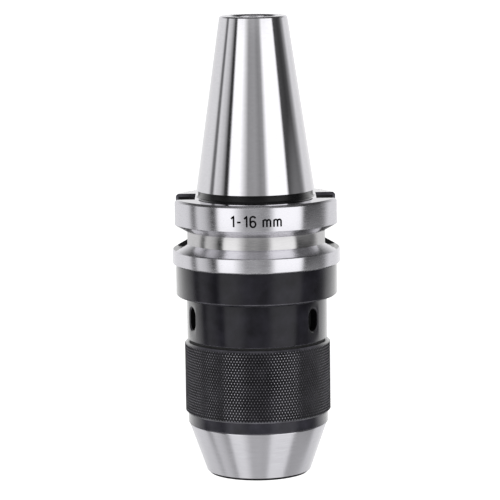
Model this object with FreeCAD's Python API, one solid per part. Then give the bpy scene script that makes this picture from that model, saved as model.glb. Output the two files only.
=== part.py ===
import FreeCAD, Part
import math
import os

# Self-tightening keyless drill chuck, 1 to 16 mm, made in one piece with a 40-size 7/24 taper shank.
# Lengths are in millimetres and angles in degrees. The origin is the centre of the taper's gauge
# plane, +Z points to the taper's small end, and the chuck opens downwards. The jaws are modelled
# fully open. Turning the sleeve anticlockwise, seen from the taper, closes them.

# Taper shank
GAUGE_DIAMETER = 44.45
TAPER_RATIO = 7 / 24  # change of diameter over length
TAPER_LENGTH = 65.4
TAPER_END_CHAMFER = 0.45
RELIEF_HEIGHT = 0.6  # the relief groove starts this far above the gauge plane
RELIEF_DEPTH = 0.6
RELIEF_FILLET = 0.6

# Pull stud hole in the small end, M16
STUD_MINOR_RADIUS = 6.9175
STUD_PILOT_RADIUS = 8.5
STUD_PILOT_DEPTH = 6.0
STUD_THREAD_LENGTH = 34.0
STUD_COUNTERSINK = 0.6
DRILL_POINT_ANGLE = 118.0

# Flange for the tool changer, with its V groove and its two drive slots
FLANGE_DROP = 2.0  # from the gauge plane to the flange's upper face
FLANGE_LENGTH = 25.0
FLANGE_RADIUS = 31.5
FLANGE_TOP_CHAMFER = 0.8
FLANGE_RIM_CHAMFER = 0.4
GROOVE_DROP = 14.6  # from the flange's upper face to the middle of the groove
GROOVE_RIM_WIDTH = 10.0
GROOVE_DEPTH = 4.6
GROOVE_FLANK_ANGLE = 30.0
DRIVE_SLOT_WIDTH = 16.1
DRIVE_SLOT_FLOOR = 22.6  # from the axis
DRIVE_SLOT_LENGTH = 19.4
DRIVE_SLOT_CORNER = 1.0
DRIVE_SLOT_EDGE = 1.0  # chamfer along the slot's two sides

# Collar under the flange, and the stub that the chuck turns on
COLLAR_LENGTH = 12.0
COLLAR_RADIUS = 30.3
COLLAR_TOP_CHAMFER = 0.4
COLLAR_LOWER_CHAMFER = 0.5

# Neck, grip and nose of the turning sleeve
NECK_GAP = 0.5
NECK_LENGTH = 16.0
NECK_RADIUS = 26.4
NECK_CHAMFER = 0.6
SEAM_HEIGHT = 0.9
SEAM_RECESS = 0.8
GRIP_LENGTH = 27.3
GRIP_STEP = 1.0  # the knurling stands out from the neck by this
GRIP_CHAMFER = 0.9
RING_LENGTH = 4.1
RING_CHAMFER = 0.3
NOSE_LENGTH = 19.1
NOSE_STEP = 0.3  # the nose starts inside the ring above it by this
NOSE_ANGLE = 19.35  # half angle of the outer cone
NOSE_TOP_CHAMFER = 0.3
NOSE_END_CHAMFER = 1.0
SPANNER_HOLE_WIDTH = 5.6
SPANNER_HOLE_HEIGHT = 8.4  # the holes are upright, with round ends
SPANNER_HOLE_DROP = 7.3  # from the top of the neck to the hole's centre
SPANNER_HOLE_DEPTH = 3.5
SPANNER_HOLE_CHAMFER = 0.4
SPANNER_HOLE_ANGLE = -37.25  # of the first hole, from +X
SLEEVE_WALL = 4.0
HOUSING_SPIGOT_WALL = 1.5
HOUSING_SPIGOT_LENGTH = 7.0
HOUSING_TOP_WALL = 4.0
NOSE_SPIGOT_WALL = 2.0

# Thrust bearing and the collar that carries it
GUIDE_SHOULDER = 0.9
BEARING_CHANNEL = 5.5  # radial room between the stub and the housing
RACE_THICKNESS = 2.25
RACE_GAP = 2.5
RACE_CLEARANCE = 0.4
BALL_RADIUS = 1.5875
BALL_COUNT = 26
BALL_CLEARANCE = 0.05
CAGE_WIDTH = 4.4
CAGE_HEIGHT = 1.8
THRUST_COLLAR_HEIGHT = 4.0
LOCK_SCREW_RADIUS = 1.5
LOCK_SCREW_LENGTH = 4.2
LOCK_SCREW_SOCKET = 1.5  # across flats
LOCK_SCREW_SOCKET_DEPTH = 1.6
JOURNAL_CLEARANCE = 0.05  # radial, of the housing on the stub

# Seal rings, by the radius of their round section
DUST_SEAL_SECTION = 0.8
DUST_SEAL_DROP = 2.0  # from the top of the neck
NOSE_SEAL_SECTION = 0.75
NOSE_SEAL_RISE = 2.1  # above the nose's visible top edge
SEAL_GROOVE_SIDE = 0.1

# Left-hand screw and its nut
STUB_WALL = 3.5
NUT_WALL = 3.42
NUT_LENGTH = 34.0
NUT_PIN_RADIUS = 1.5
NUT_PIN_LENGTH = 8.0
SCREW_CLEARANCE = 0.08
SCREW_LENGTH = 42.0
SCREW_END_ROOM = 1.8
SCREW_CHAMFER = 1.2
SCREW_RELIEF_DEPTH = 1.0
SCREW_RELIEF_LENGTH = 2.5

# Spindle head with its three T slots
HEAD_GAP = 0.3
HEAD_HEIGHT = 9.0
HEAD_CLEARANCE = 0.1
HEAD_CHAMFER = 0.5
TEE_LIP = 2.6
TEE_HEIGHT = 2.8
TEE_WIDTH = 8.5
TEE_NECK_WIDTH = 5.0
TEE_CLEARANCE = 0.1

# Jaws and the guide they slide in
JAW_COUNT = 3
LARGEST_DRILL = 16.0
SMALLEST_DRILL = 1.0
CONE_ANGLE = 20.0  # half angle of the cone that closes the jaws
JAW_WIDTH = 10.0
JAW_LAND = 1.4
JAW_GRIP_LENGTH = 26.0
JAW_TIP_RECESS = 1.0
JAW_LEAD_IN = 0.6
JAW_BACK_CLEARANCE = 0.06
JAW_SIDE_CLEARANCE = 0.05
JAW_SHOULDER_CLEARANCE = 0.2
GUIDE_WALL = 4.978  # outside the head's chamber, at the chamber's floor
GUIDE_BORE_STEP = 0.8  # the guide's bore is wider than the largest drill's radius by this
GUIDE_MOUTH_WALL = 3.7
GUIDE_RECESS = 0.5
GUIDE_TOP_GAP = 0.7
GUIDE_KEY_RADIUS = 1.0
GUIDE_KEY_LENGTH = 6.0

# Levels, from the top down
flange_top = -FLANGE_DROP
groove_middle = flange_top - GROOVE_DROP
collar_top = flange_top - FLANGE_LENGTH
collar_bottom = collar_top - COLLAR_LENGTH
neck_top = collar_bottom - NECK_GAP
neck_bottom = neck_top - NECK_LENGTH
grip_top = neck_bottom - SEAM_HEIGHT
grip_bottom = grip_top - GRIP_LENGTH
ring_bottom = grip_bottom - RING_LENGTH
nose_bottom = ring_bottom - NOSE_LENGTH
upper_race_top = neck_top - HOUSING_TOP_WALL
upper_race_bottom = upper_race_top - RACE_THICKNESS
ball_level = upper_race_bottom - RACE_GAP / 2
lower_race_top = upper_race_bottom - RACE_GAP
lower_race_bottom = lower_race_top - RACE_THICKNESS
stub_end = lower_race_bottom - THRUST_COLLAR_HEIGHT
guide_top = stub_end - GUIDE_TOP_GAP
head_top = stub_end - HEAD_GAP
head_bottom = head_top - HEAD_HEIGHT
tee_bottom = head_bottom + TEE_LIP
tee_top = tee_bottom + TEE_HEIGHT
spigot_end = grip_top - HOUSING_SPIGOT_LENGTH

# Radii, from the outside in
grip_radius = NECK_RADIUS + GRIP_STEP
guide_radius = NECK_RADIUS - SLEEVE_WALL
housing_spigot_radius = guide_radius + HOUSING_SPIGOT_WALL
nose_spigot_radius = guide_radius + NOSE_SPIGOT_WALL
housing_bore = guide_radius - GUIDE_SHOULDER
stub_radius = housing_bore - BEARING_CHANNEL
ball_pitch = stub_radius + BEARING_CHANNEL / 2 + RACE_CLEARANCE / 2
nut_radius = stub_radius - STUB_WALL
nut_bore = nut_radius - NUT_WALL
screw_radius = nut_bore - SCREW_CLEARANCE

# The cone and the jaws' travel along it
cone_slope = math.tan(math.radians(CONE_ANGLE))
guide_bore = LARGEST_DRILL / 2 + GUIDE_BORE_STEP
mouth_radius = guide_bore + GUIDE_MOUTH_WALL
cone_top = nose_bottom + (guide_radius - mouth_radius) / cone_slope
jaw_inward_travel = (LARGEST_DRILL - SMALLEST_DRILL) / 2
spindle_travel = jaw_inward_travel / cone_slope
chamber_floor = head_bottom - spindle_travel - HEAD_GAP
cone_radius_at_floor = mouth_radius + (chamber_floor - nose_bottom) * cone_slope
guide_chamber = min(guide_radius, cone_radius_at_floor) - GUIDE_WALL
head_radius = guide_chamber - HEAD_CLEARANCE
jaw_open_radius = LARGEST_DRILL / 2
jaw_tip = nose_bottom + JAW_TIP_RECESS
jaw_grip_top = jaw_tip + JAW_GRIP_LENGTH
jaw_shoulder = head_bottom - JAW_SHOULDER_CLEARANCE
jaw_flank_slope = math.tan(math.radians(180 / JAW_COUNT))
tee_inner = TEE_WIDTH / 2 / jaw_flank_slope + jaw_inward_travel + TEE_CLEARANCE
tee_outer = head_radius - HEAD_GAP
first_jaw_angle = SPANNER_HOLE_ANGLE + 180 / JAW_COUNT

AXIS = FreeCAD.Vector(0, 0, 1)
CENTRE = FreeCAD.Vector(0, 0, 0)


def turned(profile):
    """The solid that (radius, height) corners sweep out round the axis."""
    corners = [FreeCAD.Vector(radius, 0, height) for radius, height in profile]
    return Part.Face(Part.makePolygon(corners + corners[:1])).revolve(CENTRE, AXIS, 360)


def ring(inner, outer, bottom, top, chamfer=0.0):
    """A plain ring or disc, with its outer edges chamfered."""
    profile = [(inner, bottom), (outer - chamfer, bottom), (outer, bottom + chamfer)]
    profile += [(outer, top - chamfer), (outer - chamfer, top), (inner, top)]
    if not chamfer:
        profile = [(inner, bottom), (outer, bottom), (outer, top), (inner, top)]
    return turned(profile)


def block(near, far, width, bottom, top):
    """A box that reaches from near to far along X, centred on the XZ plane."""
    return Part.makeBox(far - near, width, top - bottom, FreeCAD.Vector(near, -width / 2, bottom))


def seal_ring(radius, section, level):
    """A round-section ring whose outermost radius is given."""
    return Part.makeTorus(radius - section, section, FreeCAD.Vector(0, 0, level), AXIS)


def seal_groove(radius, section, level):
    """The square groove that holds a seal ring of that radius."""
    side = section + SEAL_GROOVE_SIDE
    return ring(radius - 2 * section, radius + section, level - side, level + side)


def placed(shape, angle):
    """A copy of the shape turned about the axis."""
    copy = shape.copy()
    copy.rotate(CENTRE, AXIS, angle)
    return copy


def spread(shape, count, first_angle=0.0):
    """Equally spaced copies of a shape round the axis."""
    return [placed(shape, first_angle + 360 * index / count) for index in range(count)]


def axial_pin(radius, distance, bottom, top):
    """A pin along Z at a distance from the axis."""
    return Part.makeCylinder(radius, top - bottom, FreeCAD.Vector(distance, 0, bottom), AXIS)


def radial_pin(radius, inner, outer, level):
    """A pin along X, from the inner to the outer distance from the axis."""
    start = FreeCAD.Vector(inner, 0, level)
    return Part.makeCylinder(radius, outer - inner, start, FreeCAD.Vector(1, 0, 0))


def taper_radius(level):
    return GAUGE_DIAMETER / 2 - level * TAPER_RATIO / 2


def shank_blank():
    """The taper, flange, collar and stub as one turned piece."""
    relief_radius = taper_radius(RELIEF_HEIGHT) - RELIEF_DEPTH
    end_radius = taper_radius(TAPER_LENGTH)
    chamfer_slope = TAPER_END_CHAMFER * TAPER_RATIO / 2
    groove_half = GROOVE_RIM_WIDTH / 2
    groove_drop = GROOVE_DEPTH * math.tan(math.radians(GROOVE_FLANK_ANGLE))
    groove_radius = FLANGE_RADIUS - GROOVE_DEPTH
    rim = FLANGE_RADIUS - FLANGE_RIM_CHAMFER
    profile = [
        (0, TAPER_LENGTH),
        (end_radius - TAPER_END_CHAMFER, TAPER_LENGTH),
        (end_radius + chamfer_slope, TAPER_LENGTH - TAPER_END_CHAMFER),
        (taper_radius(RELIEF_HEIGHT), RELIEF_HEIGHT),
        (relief_radius, RELIEF_HEIGHT - RELIEF_DEPTH / 2),
        (relief_radius, flange_top + RELIEF_FILLET),
        (relief_radius + RELIEF_FILLET, flange_top),
        (FLANGE_RADIUS - FLANGE_TOP_CHAMFER, flange_top),
        (FLANGE_RADIUS, flange_top - FLANGE_TOP_CHAMFER),
        (FLANGE_RADIUS, groove_middle + groove_half + FLANGE_RIM_CHAMFER / 2),
        (rim, groove_middle + groove_half - FLANGE_RIM_CHAMFER / 2),
        (groove_radius, groove_middle + groove_half - groove_drop),
        (groove_radius, groove_middle - groove_half + groove_drop),
        (rim, groove_middle - groove_half + FLANGE_RIM_CHAMFER / 2),
        (FLANGE_RADIUS, groove_middle - groove_half - FLANGE_RIM_CHAMFER / 2),
        (FLANGE_RADIUS, collar_top + FLANGE_RIM_CHAMFER),
        (rim, collar_top),
        (COLLAR_RADIUS - COLLAR_TOP_CHAMFER, collar_top),
        (COLLAR_RADIUS, collar_top - COLLAR_TOP_CHAMFER),
        (COLLAR_RADIUS, collar_bottom + COLLAR_LOWER_CHAMFER),
        (COLLAR_RADIUS - COLLAR_LOWER_CHAMFER, collar_bottom),
        (stub_radius, collar_bottom),
        (stub_radius, stub_end),
        (0, stub_end),
    ]
    return turned(profile)


def stud_hole():
    """The pull stud's tapped hole, drawn at its minor diameter, with its pilot bore."""
    pilot_end = TAPER_LENGTH - STUD_PILOT_DEPTH
    thread_end = pilot_end - STUD_THREAD_LENGTH
    point = STUD_MINOR_RADIUS / math.tan(math.radians(DRILL_POINT_ANGLE / 2))
    profile = [
        (0, TAPER_LENGTH + 1),
        (STUD_PILOT_RADIUS + STUD_COUNTERSINK + 1, TAPER_LENGTH + 1),
        (STUD_PILOT_RADIUS, TAPER_LENGTH - STUD_COUNTERSINK),
        (STUD_PILOT_RADIUS, pilot_end),
        (STUD_MINOR_RADIUS, pilot_end - (STUD_PILOT_RADIUS - STUD_MINOR_RADIUS)),
        (STUD_MINOR_RADIUS, thread_end),
        (0, thread_end - point),
    ]
    return turned(profile)


def prism(outline, direction):
    """The solid between a flat outline and its copy shifted by the direction."""
    corners = [FreeCAD.Vector(*corner) for corner in outline]
    return Part.Face(Part.makePolygon(corners + corners[:1])).extrude(FreeCAD.Vector(*direction))


def drive_slot():
    """The slot on the +X side of the flange, with chamfers along its top and its mouth."""
    half = DRIVE_SLOT_WIDTH / 2
    far = FLANGE_RADIUS + 5
    bottom = flange_top - DRIVE_SLOT_LENGTH
    slot = block(DRIVE_SLOT_FLOOR, far, DRIVE_SLOT_WIDTH, bottom, flange_top + 1)
    corners = [
        edge
        for edge in slot.Edges
        if all(
            abs(vertex.X - DRIVE_SLOT_FLOOR) < 1e-6 and vertex.Z < flange_top
            for vertex in edge.Vertexes
        )
    ]
    slot = slot.makeFillet(DRIVE_SLOT_CORNER, corners)
    wide = half + DRIVE_SLOT_EDGE + 1
    top_flare = [
        (DRIVE_SLOT_FLOOR, -half, flange_top - DRIVE_SLOT_EDGE),
        (DRIVE_SLOT_FLOOR, half, flange_top - DRIVE_SLOT_EDGE),
        (DRIVE_SLOT_FLOOR, wide, flange_top + 1),
        (DRIVE_SLOT_FLOOR, -wide, flange_top + 1),
    ]
    rim = math.sqrt(FLANGE_RADIUS**2 - (half + DRIVE_SLOT_EDGE) ** 2)
    mouth_flare = [
        (rim - DRIVE_SLOT_EDGE, -half, bottom),
        (rim - DRIVE_SLOT_EDGE, half, bottom),
        (rim + 1, wide, bottom),
        (rim + 1, -wide, bottom),
    ]
    along = prism(top_flare, (far - DRIVE_SLOT_FLOOR, 0, 0))
    up = prism(mouth_flare, (0, 0, DRIVE_SLOT_LENGTH + 1))
    return slot.fuse([along, up])


def screw_hole():
    """The stub's bore for the nut, with room above it for the end of the screw."""
    nut_end = stub_end + NUT_LENGTH
    screw_end = head_top + SCREW_LENGTH + SCREW_END_ROOM
    profile = [
        (0, stub_end - 1),
        (nut_radius, stub_end - 1),
        (nut_radius, nut_end),
        (nut_bore, nut_end),
        (nut_bore, screw_end),
        (0, screw_end + nut_bore / 2),
    ]
    return turned(profile)


def nut_pin(extra=0.0):
    return axial_pin(NUT_PIN_RADIUS, nut_radius, stub_end - extra, stub_end + NUT_PIN_LENGTH)


def taper_shank():
    dust_groove = seal_groove(stub_radius, DUST_SEAL_SECTION, neck_top - DUST_SEAL_DROP)
    cuts = spread(drive_slot(), 2) + [stud_hole(), screw_hole(), nut_pin(1), dust_groove]
    return shank_blank().cut(cuts)


def screw_nut():
    profile = [
        (nut_bore + SCREW_CHAMFER, stub_end),
        (nut_radius, stub_end),
        (nut_radius, stub_end + NUT_LENGTH),
        (nut_bore, stub_end + NUT_LENGTH),
        (nut_bore, stub_end + SCREW_CHAMFER),
    ]
    return turned(profile).cut(nut_pin(1))


def nut_lock_pin():
    return nut_pin()


def dust_seal_ring():
    return seal_ring(stub_radius, DUST_SEAL_SECTION, neck_top - DUST_SEAL_DROP)


def ball_track():
    """The round groove that both races share with the balls."""
    groove = BALL_RADIUS + BALL_CLEARANCE
    return Part.makeTorus(ball_pitch, groove, FreeCAD.Vector(0, 0, ball_level), AXIS)


def upper_race():
    inner = stub_radius + 2 * RACE_CLEARANCE
    return ring(inner, housing_bore, upper_race_bottom, upper_race_top).cut(ball_track())


def lower_race():
    outer = housing_bore - RACE_CLEARANCE
    return ring(stub_radius, outer, lower_race_bottom, lower_race_top).cut(ball_track())


def bearing_balls():
    ball = Part.makeSphere(BALL_RADIUS, FreeCAD.Vector(ball_pitch, 0, ball_level))
    return Part.Compound(spread(ball, BALL_COUNT))


def ball_cage():
    half = CAGE_HEIGHT / 2
    inner = ball_pitch - CAGE_WIDTH / 2
    cage = ring(inner, inner + CAGE_WIDTH, ball_level - half, ball_level + half)
    pocket = Part.makeSphere(BALL_RADIUS + BALL_CLEARANCE, FreeCAD.Vector(ball_pitch, 0, ball_level))
    return cage.cut(spread(pocket, BALL_COUNT))


def lock_screw_level():
    return stub_end + THRUST_COLLAR_HEIGHT / 2


def thrust_collar():
    outer = housing_bore - RACE_CLEARANCE
    hole = radial_pin(LOCK_SCREW_RADIUS, stub_radius - 1, outer + 1, lock_screw_level())
    return ring(stub_radius, outer, stub_end, lower_race_bottom, 0.4).cut(spread(hole, 2, 90))


def collar_lock_screws():
    """Two cup-point set screws that stop the thrust collar turning on the stub's thread."""
    level = lock_screw_level()
    end = stub_radius + LOCK_SCREW_LENGTH
    screw = radial_pin(LOCK_SCREW_RADIUS, stub_radius, end, level)
    stub = Part.makeCylinder(stub_radius, THRUST_COLLAR_HEIGHT, FreeCAD.Vector(0, 0, stub_end))
    corner_radius = LOCK_SCREW_SOCKET / math.sqrt(3)
    corners = []
    for corner in range(7):
        angle = math.radians(60 * corner)
        side = corner_radius * math.cos(angle)
        corners.append(FreeCAD.Vector(end, side, level + corner_radius * math.sin(angle)))
    socket = Part.Face(Part.makePolygon(corners)).extrude(FreeCAD.Vector(-LOCK_SCREW_SOCKET_DEPTH, 0, 0))
    return Part.Compound(spread(screw.cut([stub, socket]), 2, 90))


def upright_outline(distance, radius):
    """A closed outline across X with round ends of that radius, at a distance from the axis."""
    level = neck_top - SPANNER_HOLE_DROP
    rise = (SPANNER_HOLE_HEIGHT - SPANNER_HOLE_WIDTH) / 2
    upper_left, upper_right, lower_right, lower_left = [
        FreeCAD.Vector(distance, side, level + height)
        for side, height in ((-radius, rise), (radius, rise), (radius, -rise), (-radius, -rise))
    ]
    top = FreeCAD.Vector(distance, 0, level + rise + radius)
    bottom = FreeCAD.Vector(distance, 0, level - rise - radius)
    edges = [
        Part.Arc(upper_left, top, upper_right),
        Part.LineSegment(upper_right, lower_right),
        Part.Arc(lower_right, bottom, lower_left),
        Part.LineSegment(lower_left, upper_left),
    ]
    return Part.Wire([edge.toShape() for edge in edges])


def spanner_hole():
    """A blind upright hole along X into the neck, with its mouth chamfered."""
    radius = SPANNER_HOLE_WIDTH / 2
    outer = radius + SPANNER_HOLE_CHAMFER
    rim = math.sqrt(NECK_RADIUS**2 - outer**2)
    floor = upright_outline(NECK_RADIUS - SPANNER_HOLE_DEPTH, radius)
    hole = Part.makeLoft([floor, upright_outline(NECK_RADIUS + 1, radius)], True, True)
    lip = upright_outline(rim - SPANNER_HOLE_CHAMFER, radius)
    mouth = Part.makeLoft([lip, upright_outline(rim + 2, outer + 2)], True, True)
    return hole.fuse(mouth)


def guide_key_pins():
    bottom = grip_top - HOUSING_SPIGOT_LENGTH
    key = axial_pin(GUIDE_KEY_RADIUS, guide_radius, bottom, bottom + GUIDE_KEY_LENGTH)
    return spread(key, JAW_COUNT, SPANNER_HOLE_ANGLE)


def neck_housing():
    bore = stub_radius + JOURNAL_CLEARANCE
    profile = [
        (bore, neck_top),
        (NECK_RADIUS - NECK_CHAMFER, neck_top),
        (NECK_RADIUS, neck_top - NECK_CHAMFER),
        (NECK_RADIUS, neck_bottom + NECK_CHAMFER / 2),
        (NECK_RADIUS - NECK_CHAMFER / 2, neck_bottom),
        (housing_spigot_radius, neck_bottom),
        (housing_spigot_radius, spigot_end),
        (guide_radius, spigot_end),
        (guide_radius, guide_top),
        (housing_bore, guide_top),
        (housing_bore, upper_race_top),
        (bore, upper_race_top),
    ]
    holes = spread(spanner_hole(), JAW_COUNT, SPANNER_HOLE_ANGLE)
    return turned(profile).cut(holes + guide_key_pins())


def seam_seal():
    return ring(housing_spigot_radius, NECK_RADIUS - SEAM_RECESS, grip_top, neck_bottom)


def knurled_sleeve():
    """The grip and the plain ring under it. The knurling's crests are drawn as one cylinder."""
    profile = [
        (housing_spigot_radius, grip_top),
        (grip_radius - GRIP_CHAMFER, grip_top),
        (grip_radius, grip_top - GRIP_CHAMFER),
        (grip_radius, grip_bottom + GRIP_CHAMFER),
        (grip_radius - GRIP_CHAMFER, grip_bottom),
        (NECK_RADIUS, grip_bottom),
        (NECK_RADIUS, ring_bottom + RING_CHAMFER),
        (NECK_RADIUS - RING_CHAMFER, ring_bottom),
        (nose_spigot_radius, ring_bottom),
        (nose_spigot_radius, cone_top),
        (guide_radius, cone_top),
        (guide_radius, spigot_end),
        (housing_spigot_radius, spigot_end),
    ]
    return turned(profile)


def nose_cone():
    """The hood whose inner cone drives the jaws inwards."""
    top_radius = NECK_RADIUS - NOSE_STEP
    slope = math.tan(math.radians(NOSE_ANGLE))
    end_radius = top_radius - NOSE_LENGTH * slope
    chamfer = NOSE_END_CHAMFER
    profile = [
        (mouth_radius, nose_bottom),
        (end_radius - chamfer + chamfer * slope, nose_bottom),
        (end_radius + chamfer * slope, nose_bottom + chamfer),
        (top_radius - NOSE_TOP_CHAMFER * slope, ring_bottom - NOSE_TOP_CHAMFER),
        (top_radius - NOSE_TOP_CHAMFER, ring_bottom),
        (nose_spigot_radius, ring_bottom),
        (nose_spigot_radius, cone_top),
        (guide_radius, cone_top),
    ]
    groove = seal_groove(nose_spigot_radius, NOSE_SEAL_SECTION, ring_bottom + NOSE_SEAL_RISE)
    return turned(profile).cut(groove)


def nose_seal_ring():
    return seal_ring(nose_spigot_radius, NOSE_SEAL_SECTION, ring_bottom + NOSE_SEAL_RISE)


def jaw_guide():
    """A ring with three legs that fill the hood's cone. The jaws slide between the legs."""
    bottom = nose_bottom + GUIDE_RECESS
    bottom_radius = mouth_radius + GUIDE_RECESS * cone_slope
    profile = [
        (guide_bore, bottom),
        (bottom_radius, bottom),
        (guide_radius, cone_top),
        (guide_radius, guide_top),
        (guide_chamber, guide_top),
        (guide_chamber, chamber_floor),
        (guide_bore, chamber_floor - (guide_chamber - guide_bore) * cone_slope),
    ]
    slot_top = tee_top + HEAD_GAP
    slot_width = JAW_WIDTH + 2 * JAW_SIDE_CLEARANCE
    slot = block(0, guide_radius + 1, slot_width, bottom - 1, slot_top)
    slots = spread(slot, JAW_COUNT, first_jaw_angle)
    return turned(profile).cut(slots + guide_key_pins())


def guide_keys():
    return Part.Compound(guide_key_pins())


def spindle():
    """The left-hand screw and the head with T slots that draws the jaws along."""
    relief = head_top + SCREW_RELIEF_LENGTH
    relief_radius = screw_radius - SCREW_RELIEF_DEPTH
    screw_top = head_top + SCREW_LENGTH
    profile = [
        (0, head_bottom),
        (head_radius - HEAD_CHAMFER, head_bottom),
        (head_radius, head_bottom + HEAD_CHAMFER),
        (head_radius, head_top - HEAD_CHAMFER),
        (head_radius - HEAD_CHAMFER, head_top),
        (relief_radius, head_top),
        (relief_radius, relief),
        (screw_radius, relief + SCREW_RELIEF_DEPTH),
        (screw_radius, screw_top - SCREW_CHAMFER),
        (screw_radius - SCREW_CHAMFER, screw_top),
        (0, screw_top),
    ]
    reach = head_radius + 1
    neck_width = TEE_NECK_WIDTH + 2 * TEE_CLEARANCE
    tee_width = TEE_WIDTH + 2 * TEE_CLEARANCE
    neck_slot = block(0, reach, neck_width, head_bottom - 1, tee_bottom + 1)
    tee_slot = block(0, reach, tee_width, tee_bottom, tee_top + 2 * TEE_CLEARANCE)
    slots = spread(neck_slot.fuse(tee_slot), JAW_COUNT, first_jaw_angle)
    return turned(profile).cut(slots)


def jaw_back():
    """The round back that slides down the hood's cone, a cylinder along the jaw's travel."""
    angle = math.radians(CONE_ANGLE)
    back_radius = mouth_radius - GUIDE_RECESS
    inset = back_radius + JAW_BACK_CLEARANCE
    length = 2 * (jaw_shoulder - nose_bottom)
    up_the_cone = FreeCAD.Vector(math.sin(angle), 0, math.cos(angle))
    to_the_axis = FreeCAD.Vector(-math.cos(angle), 0, math.sin(angle))
    mouth = FreeCAD.Vector(mouth_radius, 0, nose_bottom)
    start = mouth + to_the_axis * inset - up_the_cone * length / 4
    return Part.makeCylinder(back_radius, length, start, up_the_cone)


def jaw():
    """One jaw on the +X side, with its gripping edge towards the axis."""
    half = JAW_WIDTH / 2
    flank_end = jaw_open_radius + (half - JAW_LAND / 2) / jaw_flank_slope
    outline = [
        (jaw_open_radius, JAW_LAND / 2),
        (jaw_open_radius, -JAW_LAND / 2),
        (flank_end, -half),
        (guide_radius, -half),
        (guide_radius, half),
        (flank_end, half),
    ]
    corners = [FreeCAD.Vector(x, y, jaw_tip) for x, y in outline]
    face = Part.Face(Part.makePolygon(corners + corners[:1]))
    body = face.extrude(FreeCAD.Vector(0, 0, jaw_shoulder - jaw_tip))
    bore_limit = Part.makeCylinder(
        guide_radius - 2 * JAW_BACK_CLEARANCE, 200, FreeCAD.Vector(0, 0, nose_bottom)
    )
    body = body.common(jaw_back()).common(bore_limit)
    set_back = block(0, tee_inner, JAW_WIDTH + 2, jaw_grip_top, jaw_shoulder + 1)
    lead_in = Part.makeCone(
        jaw_open_radius + JAW_LEAD_IN, jaw_open_radius, JAW_LEAD_IN, FreeCAD.Vector(0, 0, jaw_tip)
    )
    body = body.cut([set_back, lead_in])
    neck = block(tee_inner, tee_outer, TEE_NECK_WIDTH, jaw_shoulder, tee_bottom + 1)
    tee_low = tee_bottom + TEE_CLEARANCE
    tee = block(tee_inner, tee_outer, TEE_WIDTH, tee_low, tee_low + TEE_HEIGHT - TEE_CLEARANCE)
    return body.fuse([neck, tee]).removeSplitter()


def nodes():
    """Every node by its name."""
    makers = [
        taper_shank,
        screw_nut,
        nut_lock_pin,
        dust_seal_ring,
        lower_race,
        thrust_collar,
        collar_lock_screws,
        bearing_balls,
        ball_cage,
        neck_housing,
        upper_race,
        seam_seal,
        knurled_sleeve,
        nose_cone,
        nose_seal_ring,
        jaw_guide,
        guide_keys,
        spindle,
    ]
    shapes = {maker.__name__: maker() for maker in makers}
    for index, shape in enumerate(spread(jaw(), JAW_COUNT, first_jaw_angle)):
        shapes[f"jaw_{index + 1}"] = shape
    return shapes


os.makedirs("parts", exist_ok=True)
for name, shape in nodes().items():
    shape.exportStep(f"parts/{name}.step")
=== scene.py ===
import math

import bmesh
import bpy
from mathutils import Matrix, Vector


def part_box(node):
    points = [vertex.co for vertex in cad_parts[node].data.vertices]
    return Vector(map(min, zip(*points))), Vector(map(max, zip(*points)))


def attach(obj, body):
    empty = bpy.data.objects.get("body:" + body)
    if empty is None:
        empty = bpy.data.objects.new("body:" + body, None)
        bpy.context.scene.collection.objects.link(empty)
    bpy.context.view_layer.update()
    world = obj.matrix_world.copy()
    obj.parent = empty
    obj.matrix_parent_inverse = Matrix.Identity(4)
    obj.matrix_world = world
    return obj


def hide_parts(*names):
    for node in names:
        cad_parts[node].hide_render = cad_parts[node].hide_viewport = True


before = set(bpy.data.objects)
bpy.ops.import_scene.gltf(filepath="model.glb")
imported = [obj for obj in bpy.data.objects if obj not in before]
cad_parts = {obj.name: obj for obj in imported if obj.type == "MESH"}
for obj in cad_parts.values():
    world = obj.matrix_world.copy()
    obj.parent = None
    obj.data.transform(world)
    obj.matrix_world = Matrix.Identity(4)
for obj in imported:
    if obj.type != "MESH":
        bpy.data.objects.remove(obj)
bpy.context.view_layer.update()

# A keyless drill chuck made in one piece with a 7/24 taper shank. It stands on its nose, with the
# taper's small end up. Lengths are in millimetres until MM turns them to metres, and heights are
# measured from the taper's gauge plane, as in the frame.
MM = 0.001
FACETS = 240  # round a turned piece
CORNER_ANGLE = 25.0  # two faces that meet at more than this keep a sharp edge
BROKEN_EDGE = 0.12  # width of the small round on a deburred corner
BROKEN_EDGE_ANGLE = 30.0  # corners sharper than this are deburred


def low(name):
    """The height of a node's lowest point."""
    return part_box(name)[0].z / MM


def high(name):
    """The height of a node's highest point."""
    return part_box(name)[1].z / MM


def half_width(name):
    """How far a node reaches from the axis, along +X."""
    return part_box(name)[1].x / MM


# Places taken from the frame
TAPER_TOP = high("taper_shank")
STUB_END = low("taper_shank")
NECK_TOP = high("neck_housing")
SEAM_TOP = high("seam_seal")
GRIP_TOP = low("seam_seal")
RING_BOTTOM = low("knurled_sleeve")
NOSE_BOTTOM = low("nose_cone")
CONE_TOP = high("nose_cone")
SPIGOT_END = low("neck_housing")
GUIDE_TOP = high("jaw_guide")
NUT_TOP = high("screw_nut")
RACE_TOP = high("upper_race")
FLANGE_RADIUS = half_width("taper_shank")
NECK_RADIUS = half_width("neck_housing")
GRIP_RADIUS = half_width("knurled_sleeve")
GUIDE_RADIUS = half_width("jaw_guide")
NUT_RADIUS = half_width("screw_nut")
RACE_RADIUS = half_width("upper_race")

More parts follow.
